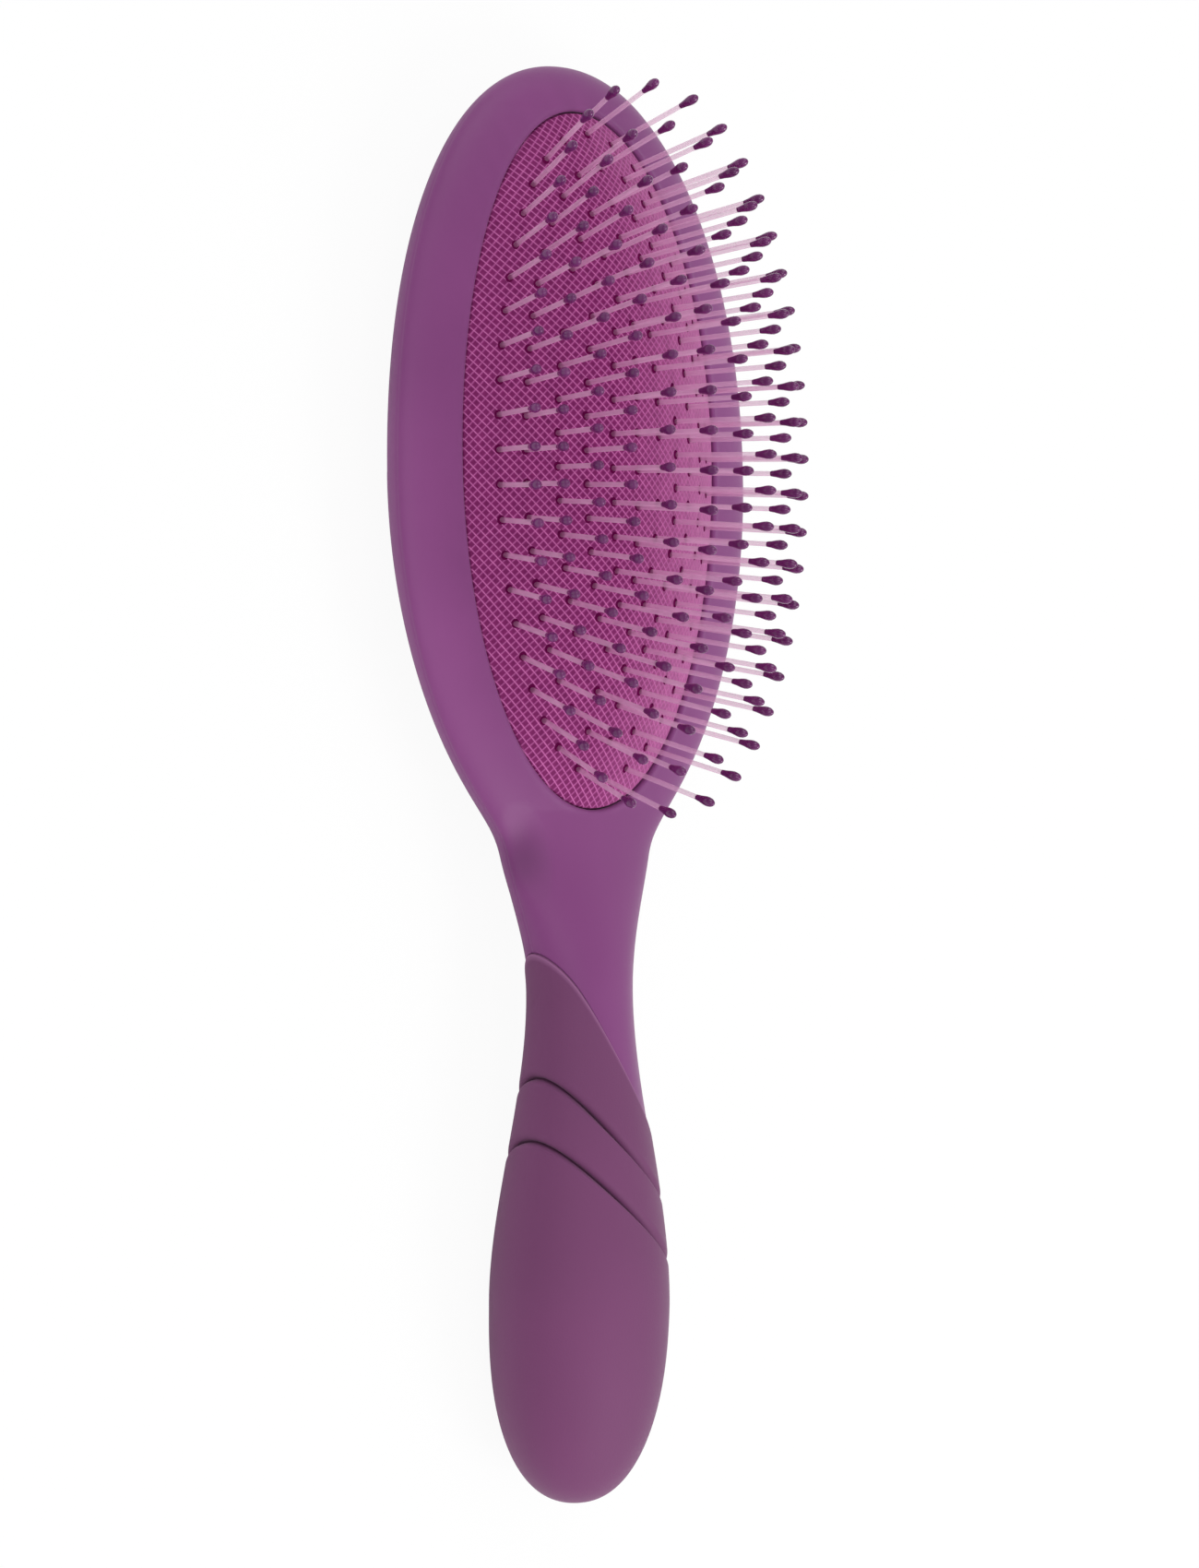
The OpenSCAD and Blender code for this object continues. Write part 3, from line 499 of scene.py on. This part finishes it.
# The seam at the parting line, which fades out at the very ends of the brush
SEAM_HALF_W, SEAM_D, SEAM_CLEAR = 0.3, 0.05, 0.5

# The thumb scoop in the near flank of the neck
SCOOP_X, SCOOP_AT, SCOOP_FACES, SCOOP_TURN = -10.8, math.radians(28), math.radians(64), math.radians(16)
SCOOP_HALF_L, SCOOP_HALF_W, SCOOP_D, SCOOP_POWER = 8.4, 4.8, 1.0, 1.6
SCOOP_PLACE = body_point(SCOOP_X, SCOOP_AT)


def seam(point):
    """Draws the skin in a little next to the parting line."""
    x, y, z = point
    gap = abs(z - mid_z(x))
    if gap < SEAM_HALF_W and abs(y) > SEAM_CLEAR:
        y -= math.copysign(SEAM_D * (1 - (gap / SEAM_HALF_W) ** 2), y)
    return x, y, z


def scooped(point):
    """Sinks the skin into the scoop, a soft oval dip."""
    x, y, z = point
    px, py, pz = x - SCOOP_PLACE[0], y - SCOOP_PLACE[1], z - SCOOP_PLACE[2]
    along = px * math.cos(SCOOP_TURN) + py * math.sin(SCOOP_TURN)
    across = -px * math.sin(SCOOP_TURN) + py * math.cos(SCOOP_TURN)
    side = -across * math.sin(SCOOP_FACES) + pz * math.cos(SCOOP_FACES)
    rest = 1 - (along / SCOOP_HALF_L) ** 2 - (side / SCOOP_HALF_W) ** 2
    if y < 0 or rest <= 0:
        return point
    sink = SCOOP_D * rest ** SCOOP_POWER
    flat = sink * math.cos(SCOOP_FACES)
    down = sink * math.sin(SCOOP_FACES)
    return x + flat * math.sin(SCOOP_TURN), y - flat * math.cos(SCOOP_TURN), z - down


def skin_points(points):
    return [scooped(seam(p)) for p in points]


# The skin's angles over one half of the body, closer together near the parting line
LINE_TS = [0.0, 0.5, 1.0, 1.6, 2.5, 4.0, 6.5]
OVER_TS = spread(9.5, 170.5, 70)
HALF_TS = [math.radians(t) for t in LINE_TS + OVER_TS + [180 - t for t in reversed(LINE_TS)]]

# The neck's rings, each with how far it is tucked in: the last two lie under the sleeve's edge
NECK_ROWS, NECK_TUCKS = 90, (0.5, 2.0)
NECK_RINGS = [(c, 0.0) for c in spread(JOIN_X, GRIP_X, NECK_ROWS, skip=True)]
NECK_RINGS += [(GRIP_X, tuck) for tuck in NECK_TUCKS]


def neck_x(c, t):
    """The neck's rings slant more and more towards the sleeve's edge."""
    return c + EDGE_SLANT * smooth((JOIN_X - c) / (JOIN_X - GRIP_X)) * math.cos(t + SLANT_TURN)


def head_edge(tau):
    """Where a line from the pad's middle, through its edge at angle tau, meets the head's outline."""
    dx, dy = PAD_RX * math.cos(tau), PAD_RY * math.sin(tau)
    inside, outside = 1.0, 3.0
    for _ in range(50):
        k = (inside + outside) / 2
        x = PAD_X + k * dx
        if x < TIP and abs(k * dy) < half_w(x):
            inside = k
        else:
            outside = k
    return PAD_X + inside * dx, inside * dy


# The front's columns run out from the pad's opening: a wall, a rounded lip and a flank
HEAD_COLUMNS, LIP_ROWS, FLANK_ROWS = 300, 6, 46
WALL_FOOT, WALL_TOP, LIP_ROUND, DROP_FADE = 0.6, RIM - 2.2, 0.55, 12


def front_column(tau, end_x, end_y):
    """Points from the foot of the opening's wall at angle tau to the column's outer end."""
    ex, ey = PAD_X + PAD_RX * math.cos(tau), PAD_RY * math.sin(tau)
    nx, ny = math.cos(tau) / PAD_RX, math.sin(tau) / PAD_RY
    size = math.hypot(nx, ny)
    nx, ny = nx / size, ny / size
    column = [(ex, ey, mid_z(ex) + WALL_FOOT), (ex, ey, mid_z(ex) + WALL_TOP)]
    for k in range(LIP_ROWS + 1):
        w = math.radians(90 * k / LIP_ROWS)
        out, under = LIP_ROUND * (1 - math.cos(w)), LIP_ROUND * (1 - math.sin(w))
        column.append((ex + nx * out, ey + ny * out, top_z(ex, ey) - under))
    sx, sy = ex + nx * LIP_ROUND, ey + ny * LIP_ROUND
    drop = column[-1][2] - top_z(sx, sy)
    for k in range(1, FLANK_ROWS + 1):
        g = quarter(k, FLANK_ROWS)
        x, y = sx + (end_x - sx) * g, sy + (end_y - sy) * g
        column.append((x, y, top_z(x, y) + drop * max(0.0, 1 - g * DROP_FADE)))
    return column


def front_body():
    """The bezel round the pad, and the front of the neck down to under the sleeve's edge."""
    # columns run round: across the neck from -Y to +Y, then round the head back to -Y
    ends = [(JOIN_X, half_w(JOIN_X) * math.cos(t)) for t in reversed(HALF_TS)]
    columns = [(math.atan2(y / PAD_RY, (x - PAD_X) / PAD_RX), x, y) for x, y in ends]
    corner = columns[-1][0]
    taus = [corner - 2 * corner * i / HEAD_COLUMNS for i in range(1, HEAD_COLUMNS)]
    columns += [(tau, *head_edge(tau)) for tau in taus]
    verts = skin_points(p for column in columns for p in front_column(*column))
    per = len(verts) // len(columns)
    faces = []
    for i in range(len(columns)):
        for j in range(per - 1):
            here, beside = i * per + j, (i + 1) % len(columns) * per + j
            faces.append((here, beside, beside + 1, here + 1))
    # the neck runs on from the outer ends of its columns
    last = [i * per + per - 1 for i in range(len(ends))]
    for c, tuck in NECK_RINGS:
        ring = range(len(verts), len(verts) + len(ends))
        verts += skin_points(body_point(neck_x(c, t), t, -tuck) for t in reversed(HALF_TS))
        faces += [(last[i], last[i + 1], ring[i + 1], ring[i]) for i in range(len(ends) - 1)]
        last = ring
    return mesh_object("front_of_body", verts, faces)


def back_body():
    """The bowl of the head, and the back of the neck down to under the sleeve's edge."""
    end_rows, bowl_rows, pole_gap = 70, 90, 0.01
    xs = [HEAD_X + (TIP - pole_gap - HEAD_X) * quarter(i, end_rows) for i in range(end_rows, 0, -1)]
    xs += spread(HEAD_X, JOIN_X, bowl_rows)
    verts = skin_points(body_point(x, -t) for x in xs for t in HALF_TS)
    verts += skin_points(body_point(neck_x(c, -t), -t, -tuck) for c, tuck in NECK_RINGS for t in HALF_TS)
    return mesh_object("back_of_body", verts, grid_faces(len(xs) + len(NECK_RINGS), len(HALF_TS)))


# The grip's sleeve, with how far from the handle's end its rings begin to slant, and how fast
SLANT_FROM, SLANT_PACE = 2, 1.6


def slant_at(c):
    """How far the ring at c slants: none at the handle's end, then the grooves' slant, then the edge's."""
    to_grooves = smooth((c - END - SLANT_FROM) / (GRIP_X - END) * SLANT_PACE)
    to_edge = smooth((c - GROOVES[0]) / (GRIP_X - GROOVES[0]))
    return GROOVE_SLANT * to_grooves + (EDGE_SLANT - GROOVE_SLANT) * to_edge


def groove_share(c):
    """1 at the bottom of a groove, 0 on the sleeve, with a gentle lip above and a sharp one below."""
    share = 0.0
    for g in GROOVES:
        u = (abs(c - g) - GROOVE_W / 2) / (LIP_W if c > g else SHARP_LIP_W)
        share = max(share, 1.0 if u <= 0 else 0.0 if u >= 1 else 1 - math.sqrt(1 - (1 - u) ** 2))
    return share


def sleeve_out(c):
    """How far the sleeve stands out from the body's own line."""
    u = (GRIP_X - SLEEVE_GAP - c) / EDGE_ROUND
    edge = 0.0 if u >= 1 else 1 - math.sqrt(1 - (1 - max(u, 0.0)) ** 2)
    return PROUD * smooth((c - BULB_X) / (GRIP_X - BULB_X)) - GROOVE_D * groove_share(c) - EDGE_ROUND * edge


# The sleeve's rings: how many in each stretch, the stretches with the grooves and the edge, and the rings
# tucked in past the edge
SLEEVE_TURNS, END_ROWS, BULB_ROWS, GROOVE_ROWS, TOP_ROWS, EDGE_ROWS = 160, 48, 18, 110, 22, 8
GROOVE_ZONE, EDGE_ZONE, EDGE_TUCKS = 3.2, 1.2, (1.0, 1.9)

# The pale band of painted highlight at the edge, and the groove's depth share from which the painted shade
# in it darkens and over which it does
HIGHLIGHT_HALF_W, GROOVE_SHADE_FROM, GROOVE_SHADE_OVER = 0.35, 0.5, 0.4


def sleeve():
    """Slanting rings from the handle's end to the rounded upper edge, then in over the neck."""
    fine_from, fine_to = GROOVES[1] - GROOVE_ZONE, GROOVES[0] + GROOVE_ZONE
    cs = [BULB_X + (END - BULB_X) * quarter(i, END_ROWS) for i in range(END_ROWS - 1, 0, -1)]
    cs += spread(BULB_X, fine_from, BULB_ROWS)
    cs += spread(fine_from, fine_to, GROOVE_ROWS, skip=True)
    cs += spread(fine_to, GRIP_X - EDGE_ZONE, TOP_ROWS, skip=True)
    cs += [GRIP_X - SLEEVE_GAP - EDGE_ROUND * (1 - quarter(i, EDGE_ROWS)) for i in range(EDGE_ROWS + 1)]
    ts = [2 * math.pi * j / SLEEVE_TURNS for j in range(SLEEVE_TURNS)]
    verts = []
    for c in cs:
        verts += [body_point(c + slant_at(c) * math.cos(t + SLANT_TURN), t, sleeve_out(c)) for t in ts]
    for tuck in EDGE_TUCKS:
        for t in ts:
            x = GRIP_X - SLEEVE_GAP + slant_at(GRIP_X) * math.cos(t + SLANT_TURN)
            verts.append(body_point(x, t, PROUD - EDGE_ROUND - tuck))
    faces = grid_faces(len(cs) + len(EDGE_TUCKS), SLEEVE_TURNS, wrap=True)
    # the handle's end is closed by a fan
    pole = len(verts)
    verts.append((END, 0.0, mid_z(END)))
    faces += [(pole, (j + 1) % SLEEVE_TURNS, j) for j in range(SLEEVE_TURNS)]
    skin = mesh_object("grip_sleeve_skin", verts, faces)
    # where painted light changes the colour: a paler band of painted highlight on the rounded upper edge,
    # and painted shade darkening the bottoms of the grooves
    rim = [max(0.0, 1 - abs(GRIP_X - HIGHLIGHT_HALF_W - c) / HIGHLIGHT_HALF_W) for c in cs]
    painted_groove_shade = [smooth((groove_share(c) - GROOVE_SHADE_FROM) / GROOVE_SHADE_OVER) for c in cs]
    for name, shares in (("rim", rim), ("groove", painted_groove_shade)):
        values = [share for share in shares for _ in ts] + [0.0] * (len(EDGE_TUCKS) * SLEEVE_TURNS + 1)
        skin.data.attributes.new(name, "FLOAT", "POINT").data.foreach_set("value", values)
    return skin


# The cushion and its net: rings out from the middle, then down inside the opening's wall
PAD_TURNS, PAD_RINGS, PAD_CLEAR, RING_POWER = 224, 60, 0.35, 1.15
PAD_EDGE = ((0.25, 0.12), (0.7, 0.2), (2.2, 0.2))


def pad():
    """The pad's face under its net, with (drop, growth) of each ring of PAD_EDGE at its rounded edge."""
    edge_x, edge_y = PAD_RX - PAD_CLEAR, PAD_RY - PAD_CLEAR
    rings = [(edge_x * share, edge_y * share, 0.0)
             for share in (quarter(i, PAD_RINGS) ** RING_POWER for i in range(1, PAD_RINGS + 1))]
    rings += [(edge_x + grow, edge_y + grow, drop) for drop, grow in PAD_EDGE]
    verts = [(PAD_X, 0.0, face_z(PAD_X, 0.0))]
    for rx, ry, drop in rings:
        for j in range(PAD_TURNS):
            t = 2 * math.pi * j / PAD_TURNS
            x, y = PAD_X + rx * math.cos(t), ry * math.sin(t)
            verts.append((x, y, face_z(x, y) - drop))
    faces = [(0, 1 + j, 1 + (j + 1) % PAD_TURNS) for j in range(PAD_TURNS)]
    faces += grid_faces(len(rings), PAD_TURNS, wrap=True, flip=True, start=1)
    return mesh_object("net_faced_cushion", verts, faces)


# Bristles and tips
def oval_roots(i):
    """Roots evenly along the i-th oval, each with the half of the head that its set belongs to."""
    count, share = OVALS[i]
    a, b = OVAL_RX - OVAL_STEP * i, OVAL_RY * share
    t = np.linspace(0.0, 2 * math.pi, 4001)
    x, y = -a * np.cos(t), b * np.sin(t)
    s = np.concatenate([[0.0], np.cumsum(np.hypot(np.diff(x), np.diff(y)))])
    at = np.arange(count) / count * s[-1]
    # with roots right at the middle, the cut between the halves moves on by half a gap
    cut = OVAL_X + (s[-1] / count / 2 if i < len(OVALS) - 1 and count % 4 == 0 else 0.0)
    spots = [(OVAL_X + float(u), float(v)) for u, v in zip(np.interp(at, s, x), np.interp(at, s, y))]
    return [(u, v, "head" if u > cut else "handle") for u, v in spots]


def bristle_sets():
    """Names of the sets, with their roots. The innermost oval shares its sets with the row."""
    sets = {}
    for i in range(len(OVALS)):
        label = ("oval_%d" % (i + 1)) if i < len(OVALS) - 1 else "middle"
        for x, y, half in oval_roots(i):
            sets.setdefault((label, half), []).append((x, y))
    row_half = OVAL_RX - (len(OVALS) - 1) * OVAL_STEP - ROW_GAP
    for j in range(ROW_COUNT):
        x = OVAL_X + row_half * (2 * j / (ROW_COUNT - 1) - 1)
        sets.setdefault(("middle", "head" if x > OVAL_X else "handle"), []).append((x, 0.0))
    return sets


def lean(x, y):
    """The way a bristle points: outwards all round, nearly straight in the middle."""
    v = (x - OVAL_X) / OVAL_RX
    even, uneven = (LEAN_HEAD + LEAN_HANDLE) / 2, (LEAN_HEAD - LEAN_HANDLE) / 2 - LEAN_MIDDLE
    along = math.radians(LEAN_MIDDLE + uneven * v * v + even * ((1 - LEAN_BEND) * v + LEAN_BEND * v ** 3))
    side = math.radians(LEAN_SIDE) * math.tanh(y / LEAN_REACH)
    return Vector((math.tan(along), math.tan(side), 1.0)).normalized()


def turned(name, profile, turns):
    """A round piece along Z: a disc extruded and scaled ring by ring through (height, radius) pairs."""
    low, radius = profile[0]
    bpy.ops.object.select_all(action="DESELECT")
    bpy.ops.mesh.primitive_circle_add(vertices=turns, radius=radius * MM, fill_type="NGON",
                                      location=(0.0, 0.0, low * MM))
    piece = bpy.context.object
    piece.name = name
    bpy.ops.object.transform_apply(location=True, rotation=False, scale=False)
    bpy.ops.object.mode_set(mode="EDIT")
    bpy.ops.mesh.select_all(action="SELECT")
    for (before, wide), (height, radius) in zip(profile, profile[1:]):
        step = (0.0, 0.0, (height - before) * MM)
        bpy.ops.mesh.extrude_region_move(TRANSFORM_OT_translate={"value": step})
        bpy.ops.transform.resize(value=(radius / wide, radius / wide, 1.0),
                                 center_override=(0.0, 0.0, height * MM))
    bpy.ops.mesh.select_all(action="SELECT")
    bpy.ops.mesh.normals_make_consistent(inside=False)
    bpy.ops.object.mode_set(mode="OBJECT")
    bpy.ops.object.shade_smooth()
    return piece


def planted(name, piece, stands):
    """One copy of the piece at each root, turned along its own way, joined into one object."""
    bpy.ops.object.select_all(action="DESELECT")
    for root, way in stands:
        copy = piece.copy()
        copy.data = piece.data.copy()
        aim = Vector((0, 0, 1)).rotation_difference(way).to_matrix().to_4x4()
        copy.data.transform(Matrix.Translation(root * MM) @ aim)
        bpy.context.scene.collection.objects.link(copy)
        copy.select_set(True)
        bpy.context.view_layer.objects.active = copy
    bpy.ops.object.join()
    joined = bpy.context.object
    joined.name = joined.data.name = name
    return joined


def shaft_profile():
    """A shaft that tapers a little, from its root under the pad's face to its tip."""
    root_depth, taper_l = 1.2, 2.0
    return [(-root_depth, SHAFT_R * 1.05), (taper_l, SHAFT_R), (BRISTLE_L - TIP_L, SHAFT_R * 0.98)]


def tip_profile():
    """A drop: a narrow neck that swells to its belly, then rounds off."""
    belly, neck = 0.62 * TIP_L, SHAFT_R * 1.12
    overlap, swell = 0.25, 0.9
    out = [(-overlap, SHAFT_R * 1.02)]
    for u in (0.0, 0.3, 0.55, 0.8, 1.0):
        out.append((belly * u, neck + (TIP_R - neck) * smooth(u) ** swell))
    for degrees in (28, 52, 70, 83):
        w = math.radians(degrees)
        out.append((belly + (TIP_L - belly) * math.sin(w), TIP_R * math.cos(w)))
    return out


# The root holes: a bristle leans against the edge of its hole, so the hole shows beside it. The holes are
# dark plugs whose colour is painted shade.
HOLE_R, HOLE_LONG, HOLE_BACK, HOLE_ASIDE = 0.62, 1.22, 0.3, 0.22
HOLE_FOOT, HOLE_SIDE, HOLE_TOP, HOLE_TOP_R = -0.4, 0.03, 0.05, 0.5
SHAFT_TURNS, DROP_TURNS, HOLE_TURNS = 10, 12, 12
rng = random.Random(5)


def hole_profile():
    """A dark plug, the painted shade of a root hole, that stands just proud of the net, with its edge taken
    off.
    """
    return [(HOLE_FOOT, HOLE_R), (HOLE_SIDE, HOLE_R), (HOLE_TOP, HOLE_TOP_R)]


def hole_place(x, y):
    way = lean(x, y)
    u = x - HOLE_BACK * way.x + rng.uniform(-0.08, 0.14)
    v = y + HOLE_ASIDE - HOLE_BACK * way.y + rng.uniform(-0.06, 0.06)
    return Vector((u, v, face_z(u, v))), face_normal(u, v)


# The pieces
photo_camera()
finish_piece(front_body(), "root_body", body_mat, "front_frame")
finish_piece(back_body(), "root_body", back_mat, "back_shell")
finish_piece(sleeve(), "root_body", grip_mat, "grip_sleeve")
cushion = finish_piece(pad(), "root_body", net_mat, "cushion_pad", "net_margin")
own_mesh(cushion)

one_shaft = turned("shaft", shaft_profile(), SHAFT_TURNS)
one_drop = turned("drop", tip_profile(), DROP_TURNS)
roots = []
for (label, half), where in bristle_sets().items():
    stands = [(Vector((x, y, face_z(x, y))), lean(x, y)) for x, y in where]
    shafts = planted("shafts_%s_%s" % (label, half), one_shaft, stands)
    finish_piece(shafts, "cushion", nylon_mat, "bristles_%s_%s" % (label, half))
    drops = planted("drops_%s_%s" % (label, half), one_drop,
                    [(root + way * (BRISTLE_L - TIP_L), way) for root, way in stands])
    finish_piece(drops, "cushion", tip_mat, "tips_%s_%s" % (label, half))
    roots += where

one_hole = turned("hole", hole_profile(), HOLE_TURNS)
one_hole.data.transform(Matrix.Diagonal((HOLE_LONG, 1.0, 1.0, 1.0)))
holes = planted("root_hole_shade", one_hole, [hole_place(x, y) for x, y in roots])
for pattern in (one_shaft, one_drop, one_hole):
    bpy.data.objects.remove(pattern)
finish_piece(holes, "root_body", hole_shade_mat)
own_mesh(holes)

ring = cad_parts["pad_clamp_ring"]
ring.data.materials.clear()
ring.data.materials.append(ring_mat)


# Floor and light, with their own sizes and places in metres
FLOOR_W, FLOOR_GREY, FLOOR_WHITE_SHARE, WORLD_LEVEL = 6.0, 0.93, 0.94, 0.5


def white_floor():
    """A plain floor that shows white to the camera and keeps a little of the brush's shadow."""
    bpy.ops.mesh.primitive_plane_add(size=FLOOR_W, location=(0.0, 0.0, 0.0))
    plane = bpy.context.object
    plane.name = "floor"
    mat, tree, shader = new_material("white_floor")
    grey = (FLOOR_GREY, FLOOR_GREY, FLOOR_GREY, 1)
    set_sockets(shader, {"Base Color": grey, "Roughness": 0.9, "Specular IOR Level": 0.0})
    white = node(tree, "ShaderNodeEmission", Strength=1.0)
    rays = tree.nodes.new("ShaderNodeLightPath").outputs
    seen = math_node(tree, "MAXIMUM", rays["Is Camera Ray"], rays["Is Transmission Ray"])
    blend = node(tree, "ShaderNodeMixShader")
    tree.links.new(math_node(tree, "MULTIPLY", seen, FLOOR_WHITE_SHARE), blend.inputs[0])
    tree.links.new(shader.outputs[0], blend.inputs[1])
    tree.links.new(white.outputs[0], blend.inputs[2])
    tree.links.new(blend.outputs[0], tree.nodes["Material Output"].inputs[0])
    plane.data.materials.append(mat)
    return plane


def soft_light(name, place, aim, size, power):
    """A square lamp, with its power in watts."""
    data = bpy.data.lights.new(name, "AREA")
    data.shape = "SQUARE"
    data.size = size
    data.energy = power
    obj = bpy.data.objects.new(name, data)
    bpy.context.scene.collection.objects.link(obj)
    obj.location = place
    obj.rotation_euler = (Vector(aim) - Vector(place)).to_track_quat("-Z", "Y").to_euler()


floor = white_floor()

world = bpy.data.worlds.new("studio")
bpy.context.scene.world = world
world.use_nodes = True
set_sockets(world.node_tree.nodes["Background"], {"Color": (1.0, 1.0, 1.0, 1), "Strength": WORLD_LEVEL})

MIDDLE, PAD_SIDE = (0.0, 0.0, 0.02), (0.03, 0.0, 0.02)
soft_light("side_light", (-0.1, -0.95, 0.85), MIDDLE, 0.9, 1.0)
soft_light("front_light", (0.0, 0.75, 1.2), MIDDLE, 0.9, 3.6)
soft_light("head_light", (1.1, 0.1, 0.7), MIDDLE, 0.8, 4.0)
soft_light("handle_light", (-1.1, 0.1, 0.7), MIDDLE, 0.8, 1.6)
soft_light("glint_light", (-0.75, -0.41, 0.97), PAD_SIDE, 0.6, 7.0)

bpy.context.scene.view_settings.view_transform = "Standard"
